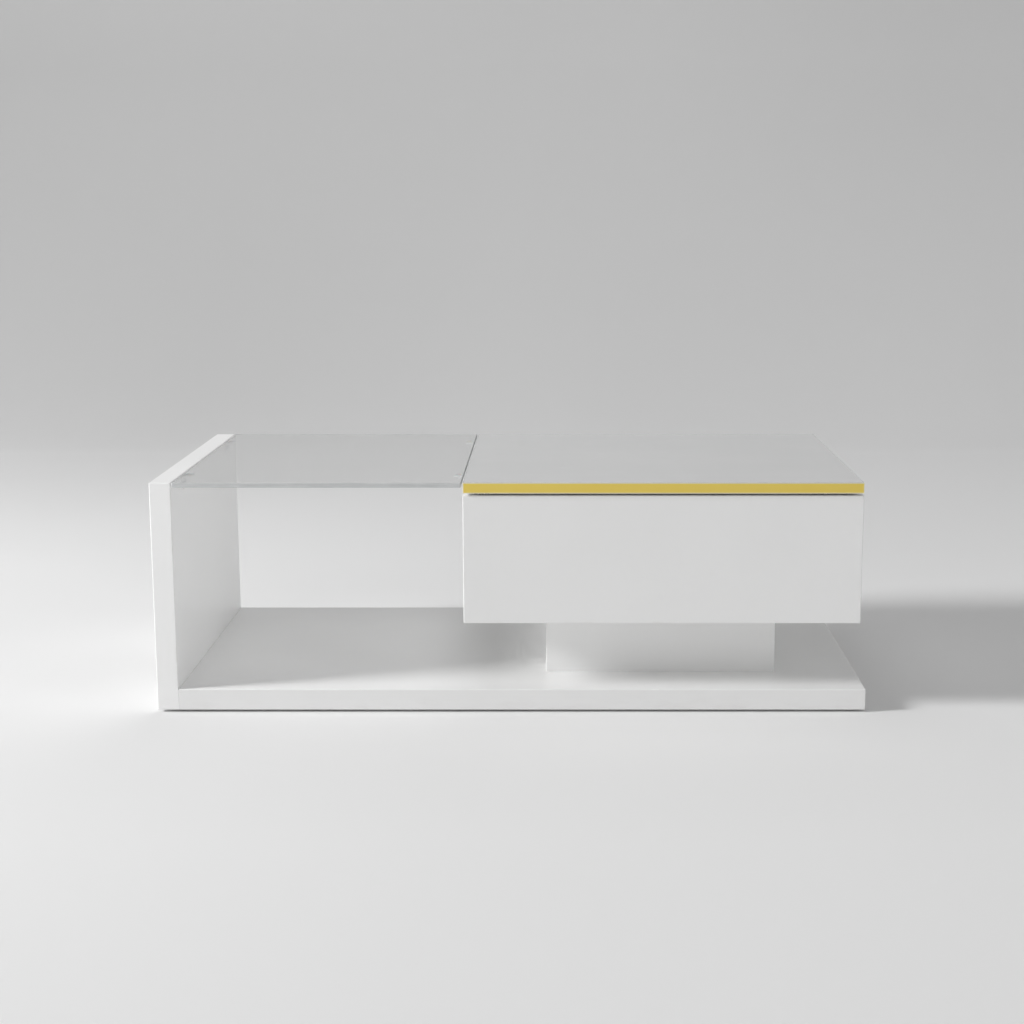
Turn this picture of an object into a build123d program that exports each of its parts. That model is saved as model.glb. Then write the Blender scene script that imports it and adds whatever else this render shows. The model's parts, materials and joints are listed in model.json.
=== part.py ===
from build123d import *
import os
from math import cos, sin, radians

# Lift-top coffee table.
# Frame: origin on the floor under the centre of the table, +X to the right,
# +Y to the back, +Z up. Millimetres.

os.makedirs("parts", exist_ok=True)

# ---------------------------------------------------------------- dimensions
WIDTH = 1200.0            # overall, X
DEPTH = 600.0             # overall, Y
HEIGHT = 394.0            # overall, Z
GLIDE_H = 4.0             # glides under the L-shaped stand
BOARD_T = 36.0            # side panel and base plate
EDGE_R = 1.5              # eased edge of every lacquered board
JOINT_R = 1.0             # eased edge of the base plate against the side panel

BOX_X0, BOX_X1 = -80.0, 588.0     # storage box, outside
BOX_Y0, BOX_Y1 = -297.0, 297.0
BOX_Z0, BOX_Z1 = 154.0, 372.0
WALL_T = 16.0             # walls and floor of the storage box

PED_X0, PED_X1 = 58.0, 458.0      # recessed pedestal between base and box
PED_Y0, PED_Y1 = -187.0, 187.0
PED_T = 18.0
BLOCK = 40.0              # square corner blocks inside the pedestal

LID_X0, LID_X1 = -79.5, 587.5
LID_Z0 = 376.0            # underside of the lid, 4 mm above the box
LID_BOARD_T = 13.0
LID_GLASS_T = 5.0
TRIM_T = 2.0              # brass strip on the front edge of the lid

SHELF_T = 8.0             # clear glass between side panel and box
SHELF_X0, SHELF_X1 = -562.5, -82.5

# lift mechanism, side view (Y, Z), lid closed
FRONT_PIVOT = (-190.0, 345.0)
REAR_PIVOT = (-130.0, 295.0)
ARM_L = 220.0             # pivot to pivot
OPEN_ANGLE = 115.0        # swing of the arms from closed to open
ARM_T = 3.0
REAR_ARM_W = 24.0
FRONT_ARM_W = 22.0
PIN_R = 4.0
RUN_FIT = 0.06            # radial clearance of the turning holes
LOOSE_FIT = 0.30          # radial clearance at the upper front pivot
TAIL_R = 45.0             # lever on the rear arm that the spring pulls
TAIL_ANGLE = -147.5
ANCHOR_Y = 100.0          # fixed end of the spring
TUBE_AT = 70.0            # cross tube, distance from the rear pivot
TUBE_R = 8.0
MID_X = (BOX_X0 + BOX_X1) / 2

TOP_Z = HEIGHT
BASE_Z0 = GLIDE_H
BASE_Z1 = GLIDE_H + BOARD_T
PANEL_X1 = -WIDTH / 2 + BOARD_T
FRONT = -DEPTH / 2
BACK = DEPTH / 2


# ------------------------------------------------------------------- helpers
def block(x0, x1, y0, y1, z0, z1):
    return Pos((x0 + x1) / 2, (y0 + y1) / 2, (z0 + z1) / 2) * Box(x1 - x0, y1 - y0, z1 - z0)


def rod_x(x0, x1, y, z, r):
    return Pos((x0 + x1) / 2, y, z) * Rot(0, 90, 0) * Cylinder(r, abs(x1 - x0))


def rod_y(y0, y1, x, z, r):
    return Pos(x, (y0 + y1) / 2, z) * Rot(90, 0, 0) * Cylinder(r, abs(y1 - y0))


def rod_z(z0, z1, x, y, r):
    return Pos(x, y, (z0 + z1) / 2) * Cylinder(r, abs(z1 - z0))


def side_plate(x0, x1, points, radius=0.0):
    """Flat plate square to X with its outline given in (Y, Z)."""
    face = make_face(Polyline(*[(p[0], p[1]) for p in points], close=True))
    if radius:
        face = fillet(face.vertices(), radius)
    return Pos(x0, 0, 0) * extrude(Plane.YZ * face, amount=x1 - x0)


def bar(x0, x1, a, b, w):
    """Flat bar with round ends from pivot a to pivot b."""
    dy, dz = b[0] - a[0], b[1] - a[1]
    n = (dy * dy + dz * dz) ** 0.5
    ny, nz = -dz / n * w / 2, dy / n * w / 2
    body = side_plate(x0, x1, [(a[0] + ny, a[1] + nz), (b[0] + ny, b[1] + nz),
                               (b[0] - ny, b[1] - nz), (a[0] - ny, a[1] - nz)])
    return body + rod_x(x0, x1, a[0], a[1], w / 2) + rod_x(x0, x1, b[0], b[1], w / 2)


def along(pivot, angle, length):
    return (pivot[0] + length * cos(radians(angle)), pivot[1] + length * sin(radians(angle)))


def other_side(shape):
    """The right-hand unit mirrors the left-hand one across the box's middle."""
    return mirror(shape, about=Plane.YZ.offset(MID_X))


def as_parts(*shapes):
    out = []
    for s in shapes:
        out.extend(s.solids())
    return out


def save(name, *shapes):
    solids = as_parts(*shapes)
    if len(solids) == 1:
        export_step(solids[0], f"parts/{name}.step")
    else:
        export_step(Compound(children=solids), f"parts/{name}.step")


# ------------------------------------------------------------- L-shaped stand
outline = [(-WIDTH / 2, BASE_Z0), (WIDTH / 2, BASE_Z0), (WIDTH / 2, BASE_Z1),
           (PANEL_X1, BASE_Z1), (PANEL_X1, TOP_Z), (-WIDTH / 2, TOP_Z)]
stand = extrude(Plane.XZ * make_face(Polyline(*outline, close=True)), amount=DEPTH / 2, both=True)
stand = fillet(
    [e for e in stand.edges()
     if not (abs(e.center().X - PANEL_X1) < 0.1 and abs(e.center().Z - BASE_Z1) < 0.1)],
    EDGE_R)
side_panel = stand & block(-WIDTH, PANEL_X1, -DEPTH, DEPTH, -10, HEIGHT + 10)
base_plate = stand & block(PANEL_X1, WIDTH, -DEPTH, DEPTH, -10, HEIGHT + 10)
base_plate = fillet(       # the butt joint shows as a fine groove
    [e for e in base_plate.edges()
     if abs(e.center().X - PANEL_X1) < 0.1 and abs(e.center().Z - BASE_Z1) < 0.1],
    JOINT_R)

# glides: flat pad with a nail, under both boards
glides = []
for gx in (-582.0, 0.0, 582.0):
    for gy in (-258.0, 258.0):
        pad = rod_z(0, GLIDE_H, gx, gy, 11)
        pad = chamfer(pad.edges().group_by(Axis.Z)[0], 0.8)
        nail = rod_z(GLIDE_H, GLIDE_H + 14, gx, gy, 1.3)
        glides.append(pad + nail)
        if gx < PANEL_X1:
            side_panel -= nail
        else:
            base_plate -= nail

# corner joint: dowels and eccentric cam fittings
dowels = []
for dy in (-215.0, 0.0, 215.0):
    d = rod_x(PANEL_X1 - 12, PANEL_X1 + 18, dy, 22, 4)
    side_panel -= d
    base_plate -= d
    dowels.append(chamfer(d.edges(), 0.8))

CAM_X, CAM_Z = PANEL_X1 + 34, BASE_Z0 + 9
cams, cam_bolts = [], []
for cy in (-245.0, -90.0, 90.0, 245.0):
    pocket = rod_z(BASE_Z0, BASE_Z0 + 12.5, CAM_X, cy, 7.5)
    way = rod_x(PANEL_X1, CAM_X, cy, CAM_Z, 3.6)
    base_plate -= pocket
    base_plate -= way
    cam = pocket - rod_x(CAM_X - 9, CAM_X + 2, cy, CAM_Z, 3.7)
    cam -= block(CAM_X - 5, CAM_X + 5, cy - 0.7, cy + 0.7, BASE_Z0, BASE_Z0 + 2)
    cam -= block(CAM_X - 0.7, CAM_X + 0.7, cy - 5, cy + 5, BASE_Z0, BASE_Z0 + 2)
    cams.append(cam)
    thread = rod_x(PANEL_X1 - 11, PANEL_X1, cy, CAM_Z, 3.5)
    side_panel -= thread
    cam_bolts.append(thread + rod_x(PANEL_X1, CAM_X - 4, cy, CAM_Z, 2.5)
                     + rod_x(CAM_X - 4, CAM_X - 0.5, cy, CAM_Z, 3.4))

# ------------------------------------------------------------------- pedestal
def frame_of_boards(x0, x1, y0, y1, z0, z1, t, r):
    """Four boards mitred at the upright corners, outer edges eased."""
    outer = block(x0, x1, y0, y1, z0, z1)
    outer = fillet(outer.edges() if r and z0 == BOX_Z0 else outer.edges().filter_by(Axis.Z), r)
    ring = outer - block(x0 + t, x1 - t, y0 + t, y1 - t, z0 - 5, z1 + 5)

    def wedge(points):
        face = make_face(Polyline(*points, close=True))
        return Pos(0, 0, z0 - 1) * extrude(Plane.XY * face, amount=z1 - z0 + 2)

    front = ring & wedge([(x0, y0), (x1, y0), (x1 - t, y0 + t), (x0 + t, y0 + t)])
    back = ring & wedge([(x0, y1), (x1, y1), (x1 - t, y1 - t), (x0 + t, y1 - t)])
    left = ring & wedge([(x0, y0), (x0 + t, y0 + t), (x0 + t, y1 - t), (x0, y1)])
    right = ring & wedge([(x1, y0), (x1 - t, y0 + t), (x1 - t, y1 - t), (x1, y1)])
    return front, back, left, right


ped_front, ped_back, ped_left, ped_right = frame_of_boards(
    PED_X0, PED_X1, PED_Y0, PED_Y1, BASE_Z1, BOX_Z0, PED_T, EDGE_R)

# --------------------------------------------------------------- storage box
box_front, box_back, box_left, box_right = frame_of_boards(
    BOX_X0, BOX_X1, BOX_Y0, BOX_Y1, BOX_Z0, BOX_Z1, WALL_T, EDGE_R)
IN_X0, IN_X1 = BOX_X0 + WALL_T, BOX_X1 - WALL_T
IN_Y0, IN_Y1 = BOX_Y0 + WALL_T, BOX_Y1 - WALL_T
FLOOR_Z = BOX_Z0 + WALL_T
box_bottom = block(IN_X0, IN_X1, IN_Y0, IN_Y1, BOX_Z0, FLOOR_Z)

bottom_dowels = []
mid = (BOX_Z0 + FLOOR_Z) / 2
for bx in (MID_X - 200, MID_X, MID_X + 200):
    d = rod_y(IN_Y0 - 8, IN_Y0 + 22, bx, mid, 4)
    box_front -= d
    box_bottom -= d
    bottom_dowels.append(chamfer(d.edges(), 0.8))
    d = rod_y(IN_Y1 - 22, IN_Y1 + 8, bx, mid, 4)
    box_back -= d
    box_bottom -= d
    bottom_dowels.append(chamfer(d.edges(), 0.8))
for by in (-150.0, 150.0):
    d = rod_x(IN_X0 - 8, IN_X0 + 22, by, mid, 4)
    box_left -= d
    box_bottom -= d
    bottom_dowels.append(chamfer(d.edges(), 0.8))
    d = rod_x(IN_X1 - 22, IN_X1 + 8, by, mid, 4)
    box_right -= d
    box_bottom -= d
    bottom_dowels.append(chamfer(d.edges(), 0.8))

# corner blocks, bolts from below the base, screws down from inside the box
blocks, inserts, ped_bolts, floor_screws = [], [], [], []
HEAD_Z = BASE_Z0 + 8
for sx in (0, 1):
    for sy in (0, 1):
        x0 = PED_X0 + PED_T if sx == 0 else PED_X1 - PED_T - BLOCK
        y0 = PED_Y0 + PED_T if sy == 0 else PED_Y1 - PED_T - BLOCK
        cx, cy = x0 + BLOCK / 2, y0 + BLOCK / 2
        b = block(x0, x0 + BLOCK, y0, y0 + BLOCK, BASE_Z1, BOX_Z0)
        insert = rod_z(BASE_Z1, BASE_Z1 + 15, cx, cy, 6)
        bolt = rod_z(HEAD_Z, BASE_Z1 + 28, cx, cy, 3)
        head = rod_z(HEAD_Z - 3.5, HEAD_Z, cx, cy, 7)
        head = chamfer(head.edges().group_by(Axis.Z)[0], 0.8)
        hexagon = Pos(cx, cy, HEAD_Z - 3.5) * extrude(RegularPolygon(2.3, 6), amount=2.2)
        b -= insert
        b -= rod_z(BASE_Z1 + 15, BASE_Z1 + 32, cx, cy, 3.4)
        insert -= rod_z(BASE_Z1 - 1, BASE_Z1 + 16, cx, cy, 3)
        base_plate -= rod_z(BASE_Z0 - 1, HEAD_Z, cx, cy, 8)
        base_plate -= rod_z(HEAD_Z, BASE_Z1 + 1, cx, cy, 3.5)
        shank = rod_z(BOX_Z0 - 34, FLOOR_Z - 3, cx, cy, 2.5)
        csk = Pos(cx, cy, FLOOR_Z - 1.5) * Cone(2.5, 5.0, 3.0)
        screw = shank + csk
        b -= shank
        box_bottom -= shank
        box_bottom -= csk
        for a in (0, 90):
            screw -= Pos(cx, cy, FLOOR_Z - 0.8) * Rot(0, 0, a) * Box(5, 1.2, 1.6)
        blocks.append(b)
        inserts.append(insert)
        ped_bolts.append(bolt + head - hexagon)
        floor_screws.append(screw)

# --------------------------------------------------------------- glass shelf
glass_shelf = block(SHELF_X0, SHELF_X1, FRONT, BACK, TOP_Z - SHELF_T, TOP_Z)
glass_shelf = fillet(glass_shelf.edges().filter_by(Axis.Z), 2.0)
glass_shelf = chamfer(
    glass_shelf.edges().group_by(Axis.Z)[0] + glass_shelf.edges().group_by(Axis.Z)[-1], 0.6)

BR_T, BR_W, PAD_T = 1.5, 28.0, 1.0
BR_TOP = TOP_Z - SHELF_T - PAD_T
BR_DROP = 18.0
wall_brackets, wall_screws, box_clips, clip_screws, glass_pads = [], [], [], [], []


def pad_on(x, y):
    pad = block(x - 6, x + 6, y - 9, y + 9, BR_TOP, BR_TOP + PAD_T)
    return fillet(pad.edges().filter_by(Axis.Z), 2.0)


def section_y(points, y0, y1):
    """Bent strip: its section in (X, Z), its width along Y."""
    face = make_face(Polyline(*points, close=True))
    return Pos(0, y1, 0) * extrude(Plane.XZ * face, amount=y1 - y0)


for gy in (-200.0, 200.0):
    # angle bracket screwed to the side panel's inner face
    fx = PANEL_X1
    angle = section_y([(fx, BR_TOP), (fx + 20, BR_TOP), (fx + 20, BR_TOP - BR_T), (fx + BR_T, BR_TOP - BR_T),
                       (fx + BR_T, BR_TOP - BR_DROP), (fx, BR_TOP - BR_DROP)], gy - BR_W / 2, gy + BR_W / 2)
    angle = fillet([e for e in angle.edges().filter_by(Axis.Y)
                    if abs(e.center().X - fx - BR_T) < 0.01 and abs(e.center().Z - BR_TOP + BR_T) < 0.01], 1.0)
    angle = fillet([e for e in angle.edges().filter_by(Axis.Z)
                    if abs(e.center().X - fx - 20) < 0.01], 4.0)
    angle = fillet([e for e in angle.edges().filter_by(Axis.X)
                    if abs(e.center().Z - BR_TOP + BR_DROP) < 0.01], 3.0)
    for sy in (gy - 8, gy + 8):
        sz = BR_TOP - 11
        shank = rod_x(fx - 14, fx + BR_T, sy, sz, 1.75)
        head = rod_x(fx + BR_T, fx + BR_T + 1.8, sy, sz, 3.2)
        head = fillet([e for e in head.edges() if abs(e.center().X - fx - BR_T - 1.8) < 0.01], 1.1)
        for ang in (0, 90):
            head -= Pos(fx + BR_T + 1.8, sy, sz) * Rot(ang, 0, 0) * Box(1.8, 3.6, 0.8)
        side_panel -= shank
        angle -= shank
        wall_screws.append(shank + head)
    wall_brackets.append(angle)
    glass_pads.append(pad_on(fx + 11, gy))
    # Z clip screwed down on the top edge of the box's left wall
    bx = BOX_X0
    clip = section_y([(bx + 15, BOX_Z1), (bx + 15, BOX_Z1 + BR_T), (bx, BOX_Z1 + BR_T), (bx, BR_TOP),
                      (bx - 20, BR_TOP), (bx - 20, BR_TOP - BR_T), (bx - BR_T, BR_TOP - BR_T),
                      (bx - BR_T, BOX_Z1)], gy - BR_W / 2, gy + BR_W / 2)
    clip = fillet([e for e in clip.edges().filter_by(Axis.Y)
                   if abs(e.center().X - bx + BR_T) < 0.01 and abs(e.center().Z - BR_TOP + BR_T) < 0.01], 1.0)
    clip = fillet([e for e in clip.edges().filter_by(Axis.Z)
                   if abs(e.center().X - bx + 20) < 0.01 and e.length < 5], 4.0)
    clip = fillet([e for e in clip.edges().filter_by(Axis.Z)
                   if abs(e.center().X - bx - 15) < 0.01 and e.length < 5], 3.0)
    for sy in (gy - 8, gy + 8):
        sx = bx + WALL_T / 2
        shank = rod_z(BOX_Z1 - 16, BOX_Z1, sx, sy, 1.75)
        csk = Pos(sx, sy, BOX_Z1 + BR_T / 2) * Cone(1.75, 3.2, BR_T)
        screw = shank + csk
        for ang in (0, 90):
            screw -= Pos(sx, sy, BOX_Z1 + BR_T) * Rot(0, 0, ang) * Box(3.4, 0.8, 1.6)
        box_left -= shank
        clip -= csk
        clip_screws.append(screw)
    box_clips.append(clip)
    glass_pads.append(pad_on(bx - 11, gy))

# ----------------------------------------------------------------------- lid
lid_panel = block(LID_X0, LID_X1, FRONT + TRIM_T, BACK, LID_Z0, LID_Z0 + LID_BOARD_T)
lid_panel = fillet(
    lid_panel.edges().filter_by(Axis.Z).group_by(Axis.Y)[-1]
    + lid_panel.edges().group_by(Axis.Z)[0].group_by(Axis.Y)[-1], EDGE_R)
lid_glass = block(LID_X0, LID_X1, FRONT + TRIM_T, BACK, LID_Z0 + LID_BOARD_T, TOP_Z)
lid_glass = fillet(lid_glass.edges().filter_by(Axis.Z).group_by(Axis.Y)[-1], EDGE_R)
lid_glass = chamfer(
    [e for e in lid_glass.edges().group_by(Axis.Z)[-1] if e.center().Y > FRONT + TRIM_T + 1], 0.6)
trim_face = block(LID_X0, LID_X1, FRONT, FRONT + TRIM_T, LID_Z0, TOP_Z)
trim_face = fillet(
    [e for e in trim_face.edges() if abs(e.center().Y - FRONT) < 0.01], 0.5)
TONGUE_Z = LID_Z0 + 6.5
tongue = block(LID_X0 + 4, LID_X1 - 4, FRONT + TRIM_T, FRONT + TRIM_T + 8, TONGUE_Z - 0.8, TONGUE_Z + 0.8)
lid_panel -= tongue
gold_trim = trim_face + tongue

bumpers = []
for bx in (BOX_X0 + WALL_T / 2, BOX_X1 - WALL_T / 2):
    for by in (-225.0, 225.0):
        bumpers.append(rod_z(BOX_Z1, LID_Z0, bx, by, 5))

# --------------------------------------------------------------- lift mechanism
# Layers from the left wall inwards: bracket, bush, arm, washer, lid bracket.
X_WALL = IN_X0
X_BR1 = X_WALL + 2.5
X_ARM0 = X_BR1 + 3.5
X_ARM1 = X_ARM0 + ARM_T
X_LB0 = X_ARM1 + 1.0
X_LB1 = X_LB0 + 2.5
SIDE_GAP = 0.15

REAR_TOP = along(REAR_PIVOT, 0, ARM_L)
FRONT_TOP = along(FRONT_PIVOT, 0, ARM_L)
TAIL = along(REAR_PIVOT, TAIL_ANGLE, TAIL_R)
ANCHOR = (ANCHOR_Y, TAIL[1])
SPRING_X = X_ARM1 + 13.0
SPRING_R = 9.0
PIN_END_X = SPRING_X + 8.0

# the stop touches the rear arm's leading edge when the arm stands at OPEN_ANGLE
_s = along(REAR_PIVOT, OPEN_ANGLE, 30)
STOP_R = 5.0
_off = REAR_ARM_W / 2 + STOP_R + 0.25
STOP = (_s[0] - sin(radians(OPEN_ANGLE)) * _off, _s[1] + cos(radians(OPEN_ANGLE)) * _off)

base_bracket = side_plate(X_WALL, X_BR1, [
    (-224, 364), (-172, 364), (-106, 326), (-92, 289), (128, 289),
    (128, 253), (-196, 253), (-224, 296)], 8.0)
for p in (FRONT_PIVOT, REAR_PIVOT):
    base_bracket -= rod_x(X_WALL, X_BR1, p[0], p[1], PIN_R)
base_bracket -= rod_x(X_WALL, X_BR1, STOP[0], STOP[1], 3.0)
base_bracket -= rod_x(X_WALL, X_BR1, ANCHOR[0], ANCHOR[1], 3.0)
SCREW_AT = [(-212, 352), (-204, 272), (-88, 266), (10, 266), (118, 279)]
base_screws = []
for (sy, sz) in SCREW_AT:
    shank = rod_x(X_WALL - 11, X_BR1, sy, sz, 2.0)
    head = rod_x(X_BR1, X_BR1 + 2.0, sy, sz, 4.0)
    head = fillet([e for e in head.edges() if abs(e.center().X - X_BR1 - 2.0) < 0.01], 1.2)
    for ang in (0, 90):
        head -= Pos(X_BR1 + 2.0, sy, sz) * Rot(ang, 0, 0) * Box(2.0, 4.4, 1.0)
    base_bracket -= shank
    box_left -= shank
    base_screws.append(shank + head)

rivets_low, bushes = [], []
for p in (FRONT_PIVOT, REAR_PIVOT):
    shank = rod_x(X_WALL, X_ARM1 + SIDE_GAP, p[0], p[1], PIN_R)
    head = rod_x(X_ARM1 + SIDE_GAP, X_ARM1 + 2.2, p[0], p[1], 7.0)
    head = fillet([e for e in head.edges() if abs(e.center().X - X_ARM1 - 2.2) < 0.01], 1.2)
    rivets_low.append(shank + head)
    bushes.append(rod_x(X_BR1, X_ARM0 - SIDE_GAP, p[0], p[1], 8.0)
                  - rod_x(X_BR1 - 1, X_ARM0, p[0], p[1], PIN_R))
stop = rod_x(X_WALL, X_BR1, STOP[0], STOP[1], 3.0) + rod_x(X_BR1, X_ARM1 + 0.4, STOP[0], STOP[1], STOP_R)


def hook_pin(x0, at):
    """Spring pin with a retaining head at its free end."""
    pin = rod_x(x0, PIN_END_X, at[0], at[1], 3.0)
    cap = rod_x(PIN_END_X - 2, PIN_END_X, at[0], at[1], 4.6)
    return pin + cap


anchor_pin = hook_pin(X_WALL, ANCHOR)
arm_pin = hook_pin(X_ARM0, TAIL)

rear_arm = bar(X_ARM0, X_ARM1, REAR_PIVOT, REAR_TOP, REAR_ARM_W)
rear_arm += bar(X_ARM0, X_ARM1, REAR_PIVOT, TAIL, 19.0)
rear_arm -= rod_x(X_ARM0 - 1, X_ARM1 + 1, REAR_PIVOT[0], REAR_PIVOT[1], PIN_R + RUN_FIT)
rear_arm -= rod_x(X_ARM0 - 1, X_ARM1 + 1, REAR_TOP[0], REAR_TOP[1], PIN_R + RUN_FIT)
rear_arm -= rod_x(X_ARM0 - 1, X_ARM1 + 1, TAIL[0], TAIL[1], 3.0)
front_arm = bar(X_ARM0, X_ARM1, FRONT_PIVOT, FRONT_TOP, FRONT_ARM_W)
front_arm -= rod_x(X_ARM0 - 1, X_ARM1 + 1, FRONT_PIVOT[0], FRONT_PIVOT[1], PIN_R + RUN_FIT)
front_arm -= rod_x(X_ARM0 - 1, X_ARM1 + 1, FRONT_TOP[0], FRONT_TOP[1], PIN_R + LOOSE_FIT)

TUBE = along(REAR_PIVOT, 0, TUBE_AT)
TUBE_X0, TUBE_X1 = X_ARM1, 2 * MID_X - X_ARM1
cross_tube = rod_x(TUBE_X0, TUBE_X1, TUBE[0], TUBE[1], TUBE_R) - rod_x(
    TUBE_X0 - 1, TUBE_X1 + 1, TUBE[0], TUBE[1], TUBE_R - 1.5)

# spring, stretched between the arm's lever and its anchor: closed coils drawn
# as a sleeve with end plates, and an eye round each pin
EYE_R, WIRE_R = 4.6, 1.25
y0, y1 = TAIL[0] + 16, ANCHOR[0] - 16
spring = rod_y(y0, y1, SPRING_X, TAIL[1], SPRING_R) - rod_y(y0 + 2.5, y1 - 2.5, SPRING_X, TAIL[1], SPRING_R - 2.5)
spring += rod_y(TAIL[0] + EYE_R, y0, SPRING_X, TAIL[1], WIRE_R)
spring += rod_y(y1, ANCHOR[0] - EYE_R, SPRING_X, TAIL[1], WIRE_R)
for at in (TAIL, ANCHOR):
    spring += Pos(SPRING_X, at[0], at[1]) * Rot(0, 90, 0) * Torus(EYE_R, WIRE_R)

# lid bracket: upright plate with a flange screwed up into the lid
hull_edges = []
top = [(-104, 376), (144, 376), (144, 364), (-104, 364)]


def convex(points):
    """Convex outline of a list of (y, z) points."""
    pts = sorted(set(points))
    lower, upper = [], []
    for seq, chain in ((pts, lower), (list(reversed(pts)), upper)):
        for p in seq:
            while len(chain) > 1 and (
                (chain[-1][0] - chain[-2][0]) * (p[1] - chain[-2][1])
                - (chain[-1][1] - chain[-2][1]) * (p[0] - chain[-2][0])) <= 1e-9:
                chain.pop()
            chain.append(p)
    return lower[:-1] + upper[:-1]


ring_points = []
for c in (FRONT_TOP, REAR_TOP):
    for k in range(48):
        a = radians(k * 7.5)
        ring_points.append((round(c[0] + 14 * cos(a), 4), round(c[1] + 14 * sin(a), 4)))
lid_plate = side_plate(X_LB0, X_LB1, convex(top + ring_points))
flange = block(X_LB0, X_LB0 + 34, -104, 144, LID_Z0 - 2.5, LID_Z0)
flange = fillet([e for e in flange.edges().filter_by(Axis.Z) if e.center().X > X_LB0 + 20], 8.0)
lid_bracket = lid_plate + flange
lid_bracket = fillet([e for e in lid_bracket.edges().filter_by(Axis.Y)
                      if abs(e.center().X - X_LB1) < 0.01
                      and abs(e.center().Z - (LID_Z0 - 2.5)) < 0.01], 2.0)
lid_screws = []
for sy in (-84.0, -22.0, 52.0, 124.0):
    sx = X_LB0 + 21
    shank = rod_z(LID_Z0 - 2.5, LID_Z0 + 10, sx, sy, 2.0)
    head = rod_z(LID_Z0 - 4.5, LID_Z0 - 2.5, sx, sy, 4.0)
    head = fillet(head.edges().group_by(Axis.Z)[0], 1.2)
    for ang in (0, 90):
        head -= Pos(sx, sy, LID_Z0 - 4.5) * Rot(0, 0, ang) * Box(4.4, 1.0, 2.0)
    lid_bracket -= shank
    lid_panel -= shank
    lid_panel -= rod_z(LID_Z0 - 2.5, LID_Z0 + 10, 2 * MID_X - sx, sy, 2.0)
    lid_screws.append(shank + head)
rivets_up, washers = [], []
for p in (FRONT_TOP, REAR_TOP):
    lid_bracket -= rod_x(X_LB0 - 1, X_LB1 + 1, p[0], p[1], PIN_R)
    outer_head = rod_x(X_ARM0 - 2.0, X_ARM0 - SIDE_GAP, p[0], p[1], 7.0)
    outer_head = fillet([e for e in outer_head.edges() if abs(e.center().X - X_ARM0 + 2.0) < 0.01], 1.2)
    inner_head = rod_x(X_LB1, X_LB1 + 1.6, p[0], p[1], 6.0)
    inner_head = fillet([e for e in inner_head.edges() if abs(e.center().X - X_LB1 - 1.6) < 0.01], 1.0)
    rivets_up.append(rod_x(X_ARM0 - SIDE_GAP, X_LB1, p[0], p[1], PIN_R) + outer_head + inner_head)
    washers.append(rod_x(X_ARM1 + SIDE_GAP, X_LB0, p[0], p[1], 8.0)
                   - rod_x(X_ARM1, X_LB0 + 1, p[0], p[1], PIN_R))

for (sy, sz) in SCREW_AT:
    box_right -= other_side(rod_x(X_WALL - 11, X_WALL, sy, sz, 2.0))

# -------------------------------------------------------------------- export
save("side_panel", side_panel)
save("base_plate", base_plate)
save("base_glides", *glides)
save("corner_dowels", *dowels)
save("corner_cam_locks", *cams)
save("corner_cam_bolts", *cam_bolts)
save("pedestal_front", ped_front)
save("pedestal_back", ped_back)
save("pedestal_left", ped_left)
save("pedestal_right", ped_right)
save("pedestal_corner_blocks", *blocks)
save("pedestal_insert_nuts", *inserts)
save("pedestal_bolts", *ped_bolts)
save("box_floor_screws", *floor_screws)
save("box_front", box_front)
save("box_back", box_back)
save("box_left", box_left)
save("box_right", box_right)
save("box_bottom", box_bottom)
save("box_bottom_dowels", *bottom_dowels)
save("glass_shelf", glass_shelf)
save("glass_wall_brackets", *wall_brackets)
save("glass_wall_bracket_screws", *wall_screws)
save("glass_box_clips", *box_clips)
save("glass_box_clip_screws", *clip_screws)
save("glass_pads", *glass_pads)
save("lid_panel", lid_panel)
save("lid_glass", lid_glass)
save("gold_trim", gold_trim)
save("lid_bumpers", *bumpers)
save("left_base_bracket", base_bracket)
save("right_base_bracket", other_side(base_bracket))
save("base_bracket_screws", *base_screws, *[other_side(s) for s in base_screws])
save("lower_pivot_rivets", *rivets_low, *[other_side(s) for s in rivets_low])
save("lower_pivot_bushes", *bushes, *[other_side(s) for s in bushes])
save("arm_stops", stop, other_side(stop))
save("spring_anchor_pins", anchor_pin, other_side(anchor_pin))
save("rear_arm_left", rear_arm)
save("rear_arm_right", other_side(rear_arm))
save("cross_tube", cross_tube)
save("arm_spring_pins", arm_pin, other_side(arm_pin))
save("front_arm_left", front_arm)
save("front_arm_right", other_side(front_arm))
save("left_spring", spring)
save("right_spring", other_side(spring))
save("left_lid_bracket", lid_bracket)
save("right_lid_bracket", other_side(lid_bracket))
save("lid_bracket_screws", *lid_screws, *[other_side(s) for s in lid_screws])
save("upper_pivot_rivets", *rivets_up, *[other_side(s) for s in rivets_up])
save("upper_pivot_washers", *washers, *[other_side(s) for s in washers])

print("closed arm tops", FRONT_TOP, REAR_TOP, "tail", TAIL, "anchor", ANCHOR, "stop", STOP)
print("spring closed", ANCHOR[0] - TAIL[0], "open", ANCHOR[0] - along(REAR_PIVOT, TAIL_ANGLE + OPEN_ANGLE, TAIL_R)[0],
      "tail z open", along(REAR_PIVOT, TAIL_ANGLE + OPEN_ANGLE, TAIL_R)[1])
print("rise", ARM_L * sin(radians(OPEN_ANGLE)), "forward", ARM_L * (1 - cos(radians(OPEN_ANGLE))))
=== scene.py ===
import json
import math

import bmesh
import bpy
import numpy as np
from mathutils import Matrix, Vector


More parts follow.
